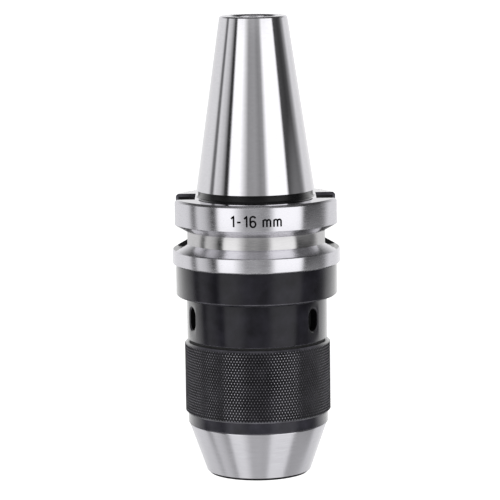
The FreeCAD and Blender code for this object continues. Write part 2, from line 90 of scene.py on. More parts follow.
# Taper, and the pull stud's M16 hole in its small end
GAUGE_RADIUS = 22.225
TAPER_SLOPE = 7 / 48  # radius lost for each millimetre of height
TAPER_CHAMFER = 0.45
STUD_PILOT_RADIUS = 8.5
STUD_PILOT_END = 59.4
STUD_COUNTERSINK = 0.6
STUD_MAJOR = 8.0
STUD_MINOR = 6.9175
STUD_PITCH = 2.0
STUD_LEAD_IN = 0.5  # height of the cone between the pilot and the thread
STUD_THREAD_END = 25.4
STUD_DRILL_POINT = 4.1

# Relief groove, flange and collar
RELIEF_HEIGHT = 0.6
RELIEF_RADIUS = 21.54
RELIEF_EDGE = 0.3
RELIEF_FILLET = 0.6
FLANGE_TOP = -2.0
FLANGE_CHAMFER = 0.8
RIM_CHAMFER = 0.4
RIM_INSET = 0.02  # keeps the flange's rim within the frame's own
GROOVE_MIDDLE = -16.6
GROOVE_HALF = 5.0
GROOVE_DEPTH = 4.6
GROOVE_FLANK_ANGLE = 30.0
COLLAR_TOP = -27.0
COLLAR_BOTTOM = -39.0
COLLAR_RADIUS = 30.3
COLLAR_TOP_CHAMFER = 0.4
COLLAR_LOWER_CHAMFER = 0.5

# Drive slots
SLOT_FLOOR = 22.6  # from the axis
SLOT_WIDTH = 16.1
SLOT_END = -21.4
SLOT_CHAMFER = 1.0
SLOT_CORNER = 1.0

# Stub inside the sleeve, with the nut's bore
STUB_RADIUS = 16.0
DUST_GROOVE_TOP = NECK_TOP - 1.1
DUST_GROOVE_BOTTOM = NECK_TOP - 2.9
DUST_GROOVE_DEPTH = 1.6
NUT_WALL = 3.42
SCREW_ROOM_END = -11.0
SCREW_ROOM_POINT = -6.5

# Neck, with its three spanner holes
JOURNAL_RADIUS = 16.05
NECK_TOP_CHAMFER = 0.6
NECK_LOWER_CHAMFER = 0.3
HOUSING_SPIGOT_RADIUS = 23.9
HOLE_RADIUS = 2.8  # of the hole's round ends
HOLE_HEIGHT = 8.4
HOLE_DEPTH = 3.5
HOLE_CHAMFER = 0.4
HOLE_DROP = 7.3  # from the neck's top to the hole's centre
HOLE_ANGLES = (-37.25, 82.75, 202.75)

# Grip, and the plain ring below it
GRIP_BOTTOM = -83.7
GRIP_CHAMFER = 0.9
KNURL_PITCH = 1.0
KNURL_LEAN = math.radians(30)
KNURL_DEPTH = 0.36
KNURL_FLAT = 0.25  # half the width of a crest's flat, in half diamonds
RING_RADIUS = NECK_RADIUS
RING_CHAMFER = 0.3
RING_FILLET = 0.15  # where the ring runs into the grip

# Nose
NOSE_TOP_RADIUS = 26.1
NOSE_SLOPE = math.tan(math.radians(19.35))
NOSE_TOP_CHAMFER = 0.3
NOSE_END_CHAMFER = 1.0
NOSE_SPIGOT_RADIUS = 24.4
NOSE_GROOVE_RISE = 2.1  # from the nose's shoulder to the middle of its seal groove
NOSE_GROOVE_HALF = 0.85
NOSE_GROOVE_DEPTH = 1.5
CONE_SLOPE = math.tan(math.radians(20))


# ------------------------------------------------------------------ materials


NOISE_SPAN = {"From Min": 0.3, "From Max": 0.7}  # where most values of a noise lie


def linear(hex_colour):
    """The linear colour of an sRGB hex value such as #c8c8ca."""
    values = [int(hex_colour[i : i + 2], 16) / 255 for i in (1, 3, 5)]
    curve = [v / 12.92 if v <= 0.04045 else ((v + 0.055) / 1.055) ** 2.4 for v in values]
    return (*curve, 1.0)


def set_inputs(tree, node, inputs):
    """Sets or links a node's inputs, by name or number."""
    for name, value in inputs.items():
        if isinstance(value, bpy.types.NodeSocket):
            tree.links.new(value, node.inputs[name])
        else:
            node.inputs[name].default_value = value


def add_node(tree, kind, settings=None, inputs=None):
    """Adds a node, sets its properties, and sets or links its inputs."""
    made = tree.nodes.new(kind)
    for name, value in (settings or {}).items():
        setattr(made, name, value)
    set_inputs(tree, made, inputs or {})
    return made


def new_material(name):
    """A plain material, with its node tree and its shader."""
    material = bpy.data.materials.new(name)
    material.use_nodes = True
    return material, material.node_tree, material.node_tree.nodes["Principled BSDF"]


def cut_rings(tree, spacing, run):
    """Noise drawn out round the axis, as a lathe tool or a grinding wheel leaves it.

    The rings are a few hundredths of a millimetre apart on the real piece. They are drawn at
    the spacing given, which is as fine as can be seen. Each runs on for about the length given.
    """
    place = add_node(tree, "ShaderNodeTexCoord").outputs["Object"]
    density = (1 / (run * MM), 1 / (run * MM), 1 / (spacing * MM))
    stretched = add_node(
        tree, "ShaderNodeVectorMath", {"operation": "MULTIPLY"}, {0: place, 1: density}
    )
    return add_node(
        tree,
        "ShaderNodeTexNoise",
        inputs={"Vector": stretched.outputs[0], "Scale": 1.0, "Detail": 2.0, "Roughness": 0.6},
    ).outputs["Fac"]


def uneven_colour(tree, shader, colour, noise, darkest, lightest):
    """The finish's colour, darker and lighter by the shares given as the noise varies."""
    span = {"Value": noise, **NOISE_SPAN, "To Min": darkest, "To Max": lightest}
    share = add_node(tree, "ShaderNodeMapRange", inputs=span).outputs["Result"]
    tint = {0: linear(colour)[:3], "Scale": share}
    tinted = add_node(tree, "ShaderNodeVectorMath", {"operation": "SCALE"}, tint)
    set_inputs(tree, shader, {"Base Color": tinted.outputs[0]})


def uneven_surface(tree, shader, noise, smoothest, roughest, marks):
    """Roughness and a relief of at most 0.02 mm, both of which follow the noise."""
    span = {"Value": noise, **NOISE_SPAN, "To Min": smoothest, "To Max": roughest}
    roughness = add_node(tree, "ShaderNodeMapRange", inputs=span).outputs["Result"]
    depth = {"Strength": marks, "Distance": 0.02 * MM, "Height": noise}
    relief = add_node(tree, "ShaderNodeBump", inputs=depth).outputs["Normal"]
    set_inputs(tree, shader, {"Roughness": roughness, "Normal": relief})


def machined_metal(name, colour, roughness, spacing, marks, run=6.0, anisotropy=0.6, shade=0.0):
    """Bare metal with the fine rings of its last cut, which smear a reflection along the axis."""
    material, tree, shader = new_material(name)
    tangent = add_node(tree, "ShaderNodeTangent", {"direction_type": "RADIAL", "axis": "Z"})
    look = {
        "Base Color": linear(colour),
        "Metallic": 1.0,
        "Anisotropic": anisotropy,
        "Anisotropic Rotation": 0.25,
        "Tangent": tangent.outputs["Tangent"],
    }
    set_inputs(tree, shader, look)
    rings = cut_rings(tree, spacing, run)
    uneven_surface(tree, shader, rings, roughness * 0.85, roughness * 1.2, marks)
    if shade:
        uneven_colour(tree, shader, colour, rings, 1.0 - shade, 1.0 + shade)
    return material


def black_oxide(name, colour, roughness, spacing, marks):
    """Steel blackened in a hot salt bath: nearly black and faintly blue, with a film of oil.

    The film shines little where it is seen square on, and strongly towards the sides. Handling
    leaves the black cloudy, in patches a few millimetres across.
    """
    material, tree, shader = new_material(name)
    turned_away = add_node(tree, "ShaderNodeLayerWeight", inputs={"Blend": 0.5}).outputs["Facing"]
    oiled = {"Value": turned_away, "From Min": 0.35, "From Max": 0.66}
    look = {
        "IOR": 1.3,
        "Coat Weight": add_node(tree, "ShaderNodeMapRange", inputs=oiled).outputs["Result"],
        "Coat IOR": 1.8,
        "Coat Roughness": roughness,
    }
    set_inputs(tree, shader, look)
    rings = cut_rings(tree, spacing, run=5.0)
    uneven_surface(tree, shader, rings, roughness * 0.85, roughness * 1.15, marks)
    place = add_node(tree, "ShaderNodeTexCoord").outputs["Object"]
    patches = {"Vector": place, "Scale": 1 / (6.0 * MM), "Detail": 4.0}
    clouds = add_node(tree, "ShaderNodeTexNoise", inputs=patches).outputs["Fac"]
    uneven_colour(tree, shader, colour, clouds, 0.6, 1.5)
    return material


def laser_mark(name, colour):
    """Steel blackened by a laser: matt and sooty, in specks drawn 0.2 mm wide so that they show."""
    material, tree, shader = new_material(name)
    set_inputs(tree, shader, {"Roughness": 0.9, "IOR": 1.2})
    place = add_node(tree, "ShaderNodeTexCoord").outputs["Object"]
    specks = {"Vector": place, "Scale": 1 / (0.2 * MM)}
    soot = add_node(tree, "ShaderNodeTexNoise", inputs=specks).outputs["Fac"]
    uneven_colour(tree, shader, colour, soot, 0.7, 1.3)
    return material


def moulded_rubber(name, colour):
    """Nitrile rubber with a matt moulded skin, its grain drawn 0.3 mm wide so that it shows."""
    material, tree, shader = new_material(name)
    set_inputs(tree, shader, {"Base Color": linear(colour)})
    place = add_node(tree, "ShaderNodeTexCoord").outputs["Object"]
    skin = {"Vector": place, "Scale": 1 / (0.3 * MM)}
    grain = add_node(tree, "ShaderNodeTexNoise", inputs=skin).outputs["Fac"]
    uneven_surface(tree, shader, grain, 0.55, 0.75, 0.2)
    return material


# The taper is ground: nearly a mirror, in crisp upright bands.
GROUND_STEEL = machined_metal(
    "ground_hardened_steel", "#d2d1d5", roughness=0.1, spacing=0.35, marks=0.12, run=2.0, shade=0.035
)
# The flange is turned: the same bands, broader and softer, with a fine grain round the axis.
FLANGE_STEEL = machined_metal(
    "turned_hardened_steel", "#d0cfd4", roughness=0.24, spacing=0.4, marks=0.06, run=3.0,
    anisotropy=0.9, shade=0.04,
)
# A face or a chamfer cut with a sharp tool: a clear mirror, not smeared either way.
FACED_STEEL = machined_metal(
    "faced_steel", "#c9c8cc", roughness=0.06, spacing=0.5, marks=0.05, anisotropy=0.0
)
# The V groove's flanks: pale, with soft bright and dark patches.
FLANK_STEEL = machined_metal(
    "turned_groove_flank", "#dad9dd", roughness=0.2, spacing=0.4, marks=0.1, run=3.0,
    anisotropy=0.3, shade=0.05,
)
# The V groove's floor: banded as the flange is, and a little darker.
GROOVE_STEEL = machined_metal(
    "turned_groove_steel", "#bfbebf", roughness=0.21, spacing=0.4, marks=0.12, run=3.0,
    anisotropy=0.9, shade=0.05,
)
# The nose is turned and rubbed with fine cloth: satin bands that fade at their sides.
NOSE_STEEL = machined_metal(
    "satin_turned_steel", "#cbcacf", roughness=0.19, spacing=0.4, marks=0.15,
    anisotropy=0.8, shade=0.04,
)
# Jaws, guide and screw: hardened grey steel with a broad, dull shine.
JAW_STEEL = machined_metal(
    "hardened_tool_steel", "#9b9ca0", roughness=0.28, spacing=0.5, marks=0.2, anisotropy=0.0
)
# Balls and races: lapped until their highlights are small and hard.
BEARING_STEEL = machined_metal(
    "polished_bearing_steel", "#d2d2d4", roughness=0.08, spacing=0.5, marks=0.05, anisotropy=0.0
)
# The ball cage: yellow, with a soft shine.
CAGE_BRASS = machined_metal("turned_brass", "#c8a45a", roughness=0.28, spacing=0.4, marks=0.2)
# The screw's nut: redder and darker than brass.
NUT_BRONZE = machined_metal("turned_bronze", "#b5834c", roughness=0.3, spacing=0.4, marks=0.2)
# Collar and neck: near black in front, with a soft shine towards the sides.
BLACKED_STEEL = black_oxide(
    "black_oxide_steel", "#1d1c22", roughness=0.18, spacing=0.5, marks=0.1
)
# The plain ring below the knurl, often handled: a shade greyer.
BLACKED_RING = black_oxide(
    "black_oxide_turned_ring", "#2b2a31", roughness=0.22, spacing=0.5, marks=0.1
)
# Milled slots, the relief groove and deep bores: dull black.
BLACKED_CUT = black_oxide(
    "black_oxide_milled", "#111113", roughness=0.3, spacing=0.4, marks=0.2
)
# Chamfers and edges: fine grey lines, lighter than the black, as a painted highlight.
EDGE_HIGHLIGHT_GREY = black_oxide(
    "black_oxide_painted_edge_highlight", "#4b4a50", roughness=0.25, spacing=0.4, marks=0.1
)
# Inside the spanner holes: the darkest black on the chuck, painted shade for the little light that gets
# in.
HOLE_SHADE_BLACK = black_oxide(
    "black_oxide_painted_hole_shade", "#070708", roughness=0.35, spacing=0.4, marks=0.2
)
# The spanner holes' chamfers: a thin grey rim, a painted highlight.
HOLE_LIP_HIGHLIGHT = black_oxide("hole_lip_painted_highlight", "#37363a", roughness=0.3, spacing=0.4, marks=0.3)
# The knurl's flanks: soft black between the crests.
KNURL_BLACK = black_oxide(
    "black_oxide_knurl", "#262529", roughness=0.3, spacing=0.5, marks=0.05
)
# The knurl's crests, rubbed bright by hands: they sparkle against the black.
KNURL_CREST = machined_metal(
    "rubbed_knurl_crest", "#a6a5ab", roughness=0.2, spacing=0.5, marks=0.05, anisotropy=0.0
)
SEAL_RUBBER = moulded_rubber("nitrile_rubber", "#141415")
ETCHED_MARK = laser_mark("laser_etched_mark", "#050506")


# ------------------------------------------------------------------ mesh tools


def finish_mesh(name, vertices, faces, finishes, corner_angle=CORNER_ANGLE):
    """A smooth-shaded object from millimetre vertices, with a finish for each face."""
    mesh = bpy.data.meshes.new(name)
    mesh.from_pydata([Vector(v) * MM for v in vertices], [], faces)
    numbers = {}
    for finish in finishes:
        if finish not in numbers:
            numbers[finish] = len(numbers)
            mesh.materials.append(finish)
    mesh.polygons.foreach_set("material_index", [numbers[finish] for finish in finishes])
    piece = bpy.data.objects.new(name, mesh)
    bpy.context.scene.collection.objects.link(piece)
    set_corners(mesh, corner_angle)
    return piece


def set_corners(mesh, corner_angle=CORNER_ANGLE):
    """Outward normals, smooth faces, and a sharp edge wherever two faces meet at a corner."""
    work = bmesh.new()
    work.from_mesh(mesh)
    bmesh.ops.remove_doubles(work, verts=work.verts, dist=1e-7)
    bmesh.ops.recalc_face_normals(work, faces=work.faces)
    limit = math.radians(corner_angle)
    for face in work.faces:
        face.smooth = True
    for edge in work.edges:
        edge.smooth = edge.calc_face_angle(0.0) < limit
    work.to_mesh(mesh)
    work.free()


def on_circle(radius, part_of_turn, level):
    """The point that far round a circle about the axis."""
    angle = 2 * math.pi * part_of_turn
    return (radius * math.cos(angle), radius * math.sin(angle), level)


def turned(name, outline):
    """A closed turned piece. Each outline corner is (radius, height, finish of the face that follows)."""
    vertices, faces, finishes = [], [], []
    rows = []
    for radius, level, _ in outline:
        start = len(vertices)
        if radius == 0:
            vertices.append((0, 0, level))
            rows.append([start] * FACETS)
            continue
        vertices += [on_circle(radius, step / FACETS, level) for step in range(FACETS)]
        rows.append(list(range(start, start + FACETS)))
    for (_, _, finish), here, there in zip(outline, rows, rows[1:] + rows[:1]):
        if here[0] == here[1] and there[0] == there[1]:
            continue
        for step in range(FACETS):
            after = (step + 1) % FACETS
            corners = [here[step], here[after], there[after], there[step]]
            faces.append(list(dict.fromkeys(corners)))
            finishes.append(finish)
    return finish_mesh(name, vertices, faces, finishes)


def apply_modifiers(piece):
    """Makes the piece's modifiers part of its mesh."""
    graph = bpy.context.evaluated_depsgraph_get()
    graph.update()
    made = bpy.data.meshes.new_from_object(piece.evaluated_get(graph))
    piece.modifiers.clear()
    piece.data = made


def cut_with(piece, cutters):
    """Cuts the cutters out of the piece. A cut face has the finish of the cutter that made it."""
    for cutter in cutters:
        step = piece.modifiers.new("cut", "BOOLEAN")
        step.operation = "DIFFERENCE"
        step.object = cutter
        step.solver = "EXACT"
        step.material_mode = "TRANSFER"
    apply_modifiers(piece)
    set_corners(piece.data)
    for cutter in cutters:
        bpy.data.objects.remove(cutter)


def break_edges(piece):
    """A small round on every corner, so that the edges catch the light."""
    step = piece.modifiers.new("edge", "BEVEL")
    step.width = BROKEN_EDGE * MM
    step.segments = 2
    step.limit_method = "ANGLE"
    step.angle_limit = math.radians(BROKEN_EDGE_ANGLE)
    step.use_clamp_overlap = True
    step.harden_normals = False
    apply_modifiers(piece)
    set_corners(piece.data)


def prism_cutter(name, outline, shift, finish, angle):
    """A flat outline and its shifted copy joined up, then turned about the axis."""
    turn = Matrix.Rotation(math.radians(angle), 3, "Z")
    near = [Vector(corner) for corner in outline]
    far = [corner + Vector(shift) for corner in near]
    count = len(outline)
    sides = [(k, (k + 1) % count, count + (k + 1) % count, count + k) for k in range(count)]
    faces = [tuple(range(count)), tuple(range(count, 2 * count)), *sides]
    vertices = [turn @ corner for corner in near + far]
    return finish_mesh(name, vertices, faces, [finish] * len(faces))


def upright_cutter(name, profile, half_height, level, angle, wall, chamfer):
    """A cutter along a radius whose section stands upright with round ends.

    The profile is (distance from the chuck's axis, radius of the ends), from the floor out. The
    last two values are the finishes of the hole's wall and of its chamfer.
    """
    steps = 24
    count = 2 * steps
    vertices, faces, finishes = [], [], []
    for distance, radius in profile:
        for step in range(count):
            way = math.pi * (step + 0.5) / steps
            rise = half_height if math.sin(way) > 0 else -half_height
            across, up = radius * math.cos(way), radius * math.sin(way)
            vertices.append((distance, across, level + rise + up))
    for ring in range(len(profile) - 1):
        here, there = ring * count, (ring + 1) * count
        for step in range(count):
            after = (step + 1) % count
            faces.append((here + step, here + after, there + after, there + step))
            finishes.append(chamfer if ring else wall)
    faces.append(tuple(range(count)))
    faces.append(tuple(range(len(vertices) - count, len(vertices))))
    finishes += [wall, wall]
    turn = Matrix.Rotation(math.radians(angle), 3, "Z")
    placed = [turn @ Vector(vertex) for vertex in vertices]
    return finish_mesh(name, placed, faces, finishes)


# ------------------------------------------------------------------ the shank


def taper_radius(level):
    return GAUGE_RADIUS - level * TAPER_SLOPE


def shank():
    """Taper, flange, collar and stub, one forging: bright down to the flange, black below it."""
    groove_drop = GROOVE_DEPTH * math.tan(math.radians(GROOVE_FLANK_ANGLE))
    groove_top = GROOVE_MIDDLE + GROOVE_HALF
    groove_low = GROOVE_MIDDLE - GROOVE_HALF
    rim = FLANGE_RADIUS - RIM_INSET
    rim_step = RIM_CHAMFER / 2
    end = taper_radius(TAPER_TOP)
    end_edge = end + TAPER_CHAMFER * TAPER_SLOPE
    relief_bend = 0.3 * RELIEF_FILLET  # halfway round the fillet
    seal_floor = STUB_RADIUS - DUST_GROOVE_DEPTH
    nut_bore = NUT_RADIUS - NUT_WALL
    outline = [
        (0, STUD_THREAD_END - STUD_DRILL_POINT, BLACKED_CUT),
        (STUD_MINOR, STUD_THREAD_END, BLACKED_CUT),
        (STUD_MINOR, STUD_THREAD_END + STUD_PITCH, BLACKED_CUT),
        (STUD_MAJOR, STUD_THREAD_END + STUD_PITCH, BLACKED_CUT),
        (STUD_MAJOR, STUD_PILOT_END - STUD_LEAD_IN, FLANGE_STEEL),
        (STUD_PILOT_RADIUS, STUD_PILOT_END, FLANGE_STEEL),
        (STUD_PILOT_RADIUS, TAPER_TOP - STUD_COUNTERSINK, FLANGE_STEEL),
        (STUD_PILOT_RADIUS + STUD_COUNTERSINK, TAPER_TOP, FLANGE_STEEL),
        (end - TAPER_CHAMFER, TAPER_TOP, FLANGE_STEEL),
        (end_edge, TAPER_TOP - TAPER_CHAMFER, GROUND_STEEL),
        (taper_radius(RELIEF_HEIGHT), RELIEF_HEIGHT, BLACKED_CUT),
        (RELIEF_RADIUS, RELIEF_HEIGHT - RELIEF_EDGE, BLACKED_CUT),
        (RELIEF_RADIUS, FLANGE_TOP + RELIEF_FILLET, BLACKED_CUT),
        (RELIEF_RADIUS + relief_bend, FLANGE_TOP + relief_bend, BLACKED_CUT),
        (RELIEF_RADIUS + RELIEF_FILLET, FLANGE_TOP, FACED_STEEL),
        (rim - FLANGE_CHAMFER, FLANGE_TOP, FLANGE_STEEL),
        (rim, FLANGE_TOP - FLANGE_CHAMFER, FLANGE_STEEL),
        (rim, groove_top + rim_step, FLANGE_STEEL),
        (rim - RIM_CHAMFER, groove_top - rim_step, FLANK_STEEL),
        (rim - GROOVE_DEPTH, groove_top - groove_drop, GROOVE_STEEL),
        (rim - GROOVE_DEPTH, groove_low + groove_drop, FLANK_STEEL),
        (rim - RIM_CHAMFER, groove_low + rim_step, FLANGE_STEEL),
        (rim, groove_low - rim_step, FLANGE_STEEL),
        (rim, COLLAR_TOP + RIM_CHAMFER, FLANGE_STEEL),
        (rim - RIM_CHAMFER, COLLAR_TOP, BLACKED_STEEL),
        # The collar's chamfers take the lighter grey of the painted edge highlight
        (COLLAR_RADIUS - COLLAR_TOP_CHAMFER, COLLAR_TOP, EDGE_HIGHLIGHT_GREY),
        (COLLAR_RADIUS, COLLAR_TOP - COLLAR_TOP_CHAMFER, BLACKED_STEEL),
        (COLLAR_RADIUS, COLLAR_BOTTOM + COLLAR_LOWER_CHAMFER, EDGE_HIGHLIGHT_GREY),
        (COLLAR_RADIUS - COLLAR_LOWER_CHAMFER, COLLAR_BOTTOM, BLACKED_STEEL),
        (STUB_RADIUS, COLLAR_BOTTOM, FLANGE_STEEL),
        (STUB_RADIUS, DUST_GROOVE_TOP, FLANGE_STEEL),
        (seal_floor, DUST_GROOVE_TOP, FLANGE_STEEL),
        (seal_floor, DUST_GROOVE_BOTTOM, FLANGE_STEEL),
        (STUB_RADIUS, DUST_GROOVE_BOTTOM, FLANGE_STEEL),
        (STUB_RADIUS, STUB_END, FLANGE_STEEL),
        (NUT_RADIUS, STUB_END, FLANGE_STEEL),
        (NUT_RADIUS, NUT_TOP, FLANGE_STEEL),
        (nut_bore, NUT_TOP, FLANGE_STEEL),
        (nut_bore, SCREW_ROOM_END, FLANGE_STEEL),
        (0, SCREW_ROOM_POINT, FLANGE_STEEL),
    ]
    body = turned("taper_shank_body", outline)
    cut_with(body, [cutter for side in (0, 180) for cutter in drive_slot(side)])
    break_edges(body)
    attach(body, "shank")
    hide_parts("taper_shank")


def drive_slot(angle):
    """Cutters for one drive slot: the slot, and the flares that chamfer its top and its mouth."""
    half = SLOT_WIDTH / 2
    wide = half + SLOT_CHAMFER + 1
    above = FLANGE_TOP + 1
    outside = FLANGE_RADIUS + 5
    bends = [math.radians(step) for step in range(0, 91, 15)]
    corner = [
        (
            SLOT_FLOOR + SLOT_CORNER * (1 - math.cos(bend)),
            SLOT_END + SLOT_CORNER * (1 - math.sin(bend)),
        )
        for bend in bends
    ]
    side = [(SLOT_FLOOR, above), *corner, (outside, SLOT_END), (outside, above)]
    slot = [(x, -half, z) for x, z in side]
    top_flare = [
        (SLOT_FLOOR, -half, FLANGE_TOP - SLOT_CHAMFER),
        (SLOT_FLOOR, half, FLANGE_TOP - SLOT_CHAMFER),
        (SLOT_FLOOR, wide, above),
        (SLOT_FLOOR, -wide, above),
    ]
    rim = math.sqrt(FLANGE_RADIUS**2 - (half + SLOT_CHAMFER) ** 2)
    mouth_flare = [
        (rim - SLOT_CHAMFER, -half, SLOT_END),
        (rim - SLOT_CHAMFER, half, SLOT_END),
        (rim + 1, wide, SLOT_END),
        (rim + 1, -wide, SLOT_END),
    ]
    across, along, up = (0, SLOT_WIDTH, 0), (outside - SLOT_FLOOR, 0, 0), (0, 0, above - SLOT_END)
    # The flares' faces take the lighter grey of the painted edge highlight
    return [
        prism_cutter("slot", slot, across, BLACKED_CUT, angle),
        prism_cutter("slot_top", top_flare, along, EDGE_HIGHLIGHT_GREY, angle),
        prism_cutter("slot_mouth", mouth_flare, up, EDGE_HIGHLIGHT_GREY, angle),
    ]


def stud_thread():
    """The thread that takes the pull stud, as a ridge wound up the wall of its hole."""
    turns = (STUD_PILOT_END - STUD_LEAD_IN - STUD_THREAD_END - 2 * STUD_PITCH) / STUD_PITCH
    steps = 48
    crest, root = STUD_PITCH / 8, STUD_PITCH * 0.44
    section = [(STUD_MAJOR, -root), (STUD_MINOR, -crest), (STUD_MINOR, crest), (STUD_MAJOR, root)]
    count = len(section)
    vertices, faces = [], []
    for step in range(round(turns * steps) + 1):
        level = STUD_THREAD_END + 1.5 * STUD_PITCH + STUD_PITCH * step / steps
        start = len(vertices)
        vertices += [on_circle(radius, step / steps, level + offset) for radius, offset in section]
        if step:
            for near in range(count):
                after = (near + 1) % count
                behind = start - count
                faces.append((behind + near, behind + after, start + after, start + near))
    faces.append(tuple(range(count)))
    faces.append(tuple(range(len(vertices) - count, len(vertices))))
    ridge = finish_mesh("stud_thread", vertices, faces, [FLANGE_STEEL] * len(faces))
    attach(ridge, "shank")


# ------------------------------------------------------------------ the mark on the flange


def arc(centre, across, upright, first, last):
    """Points along part of an ellipse, between two angles in degrees."""
    steps = 24
    angles = [math.radians(first + (last - first) * step / steps) for step in range(steps + 1)]
    return [(centre[0] + across * math.cos(a), centre[1] + upright * math.sin(a)) for a in angles]


def sign_strokes():
    """Each sign of the mark, as its width and its strokes, in shares of a figure's height."""
    arch = arc((0.17, 0.5), 0.17, 0.18, 180, 0)
    next_arch = [(x + 0.34, y) for x, y in arch]
    loop = arc((0.25, 0.28), 0.25, 0.28, 160, 550)
    bow = arc((0.25, 0.75), 0.25, 0.25, 20, 180)
    return {
        "1": (0.24, [[(0, 0.78), (0.24, 1), (0.24, 0)]]),
        "-": (0.34, [[(0, 0.45), (0.34, 0.45)]]),
        "6": (0.5, [loop, bow + [(0, 0.28)]]),
        " ": (0.05, []),
        "m": (0.68, [[(0, 0), (0, 0.68)], arch + [(0.34, 0)], next_arch + [(0.68, 0)]]),
    }


def spaced(path, longest):
    """The path with points added, so that no step is longer than given."""
    points = [path[0]]
    for start, end in zip(path, path[1:]):
        parts = math.ceil(math.dist(start, end) / longest)
        for part in range(1, parts + 1):
            points.append(tuple(a + (b - a) * part / parts for a, b in zip(start, end)))
    return points


def stroke_edges(path, half_width):
    """The two edges of a stroke along a path, mitred at its corners."""
    points = [Vector(point) for point in path]
    ways = [(after - before).normalized() for before, after in zip(points, points[1:])]
    sharpest = 2 / 3  # a mitre never reaches past 1.5 half widths
    edges = []
    for point, before, after in zip(points, ways[:1] + ways, ways + ways[-1:]):
        middle = (before + after).normalized()
        side = Vector((-middle.y, middle.x))
        reach = half_width / max(abs(middle.dot(before)), sharpest)
        edges.append((point + side * reach, point - side * reach))
    return edges


def capacity_mark():
    """The drill range etched in black on the flange's upper rim, facing the front."""
    text, height, stroke, gap = "1-16 mm", 3.9, 0.66, 1.3
    drop = 0.9  # from the middle of the upper rim to the mark's own
    signs = sign_strokes()
    radius = FLANGE_RADIUS - RIM_INSET / 2
    base = (FLANGE_TOP + GROOVE_MIDDLE + GROOVE_HALF - height) / 2 - drop
    widths = [signs[sign][0] * height for sign in text]
    start = -(sum(widths) + gap * (len(text) - 1)) / 2
    vertices, faces = [], []
    for sign, width in zip(text, widths):
        for path in signs[sign][1]:
            along = spaced([(start + x * height, base + y * height) for x, y in path], 0.5)
            for number, edges in enumerate(stroke_edges(along, stroke / 2)):
                for across, rise in edges:
                    angle = across / radius
                    vertices.append((radius * math.sin(angle), -radius * math.cos(angle), rise))
                if number:
                    last = len(vertices) - 1
                    faces.append((last - 3, last - 2, last, last - 1))
        start += width + gap
    mark = finish_mesh("capacity_mark", vertices, faces, [ETCHED_MARK] * len(faces))
    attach(mark, "shank")


# ------------------------------------------------------------------ the sleeve


def neck():
    """The blackened bearing housing with its three spanner holes."""
    # The neck's chamfers take the lighter grey of the painted edge highlight
    outline = [
        (JOURNAL_RADIUS, NECK_TOP, BLACKED_STEEL),
        (NECK_RADIUS - NECK_TOP_CHAMFER, NECK_TOP, EDGE_HIGHLIGHT_GREY),
        (NECK_RADIUS, NECK_TOP - NECK_TOP_CHAMFER, BLACKED_STEEL),
        (NECK_RADIUS, SEAM_TOP + NECK_LOWER_CHAMFER, EDGE_HIGHLIGHT_GREY),
        (NECK_RADIUS - NECK_LOWER_CHAMFER, SEAM_TOP, BLACKED_STEEL),
        (HOUSING_SPIGOT_RADIUS, SEAM_TOP, BLACKED_STEEL),
        (HOUSING_SPIGOT_RADIUS, SPIGOT_END, BLACKED_STEEL),
        (GUIDE_RADIUS, SPIGOT_END, BLACKED_STEEL),
        (GUIDE_RADIUS, GUIDE_TOP, BLACKED_STEEL),
        (RACE_RADIUS, GUIDE_TOP, BLACKED_STEEL),
        (RACE_RADIUS, RACE_TOP, BLACKED_STEEL),
        (JOURNAL_RADIUS, RACE_TOP, BLACKED_STEEL),
    ]
    body = turned("neck_housing_body", outline)
    wide = HOLE_RADIUS + HOLE_CHAMFER
    rim = math.sqrt(NECK_RADIUS**2 - wide**2)
    profile = [
        (NECK_RADIUS - HOLE_DEPTH, HOLE_RADIUS),
        (rim - HOLE_CHAMFER, HOLE_RADIUS),
        (rim + 2, wide + 2),
        (NECK_RADIUS + 3, wide + 2),
    ]
    half_height = HOLE_HEIGHT / 2 - HOLE_RADIUS
    level = NECK_TOP - HOLE_DROP
    # The holes' walls are painted the darkest black, as shade
    cutters = [
        # The holes' chamfers get a lighter grey, a painted highlight
        upright_cutter("hole", profile, half_height, level, angle, HOLE_SHADE_BLACK, HOLE_LIP_HIGHLIGHT)
        for angle in HOLE_ANGLES
    ]
    cut_with(body, cutters)
    break_edges(body)
    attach(body, "sleeve")
    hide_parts("neck_housing")


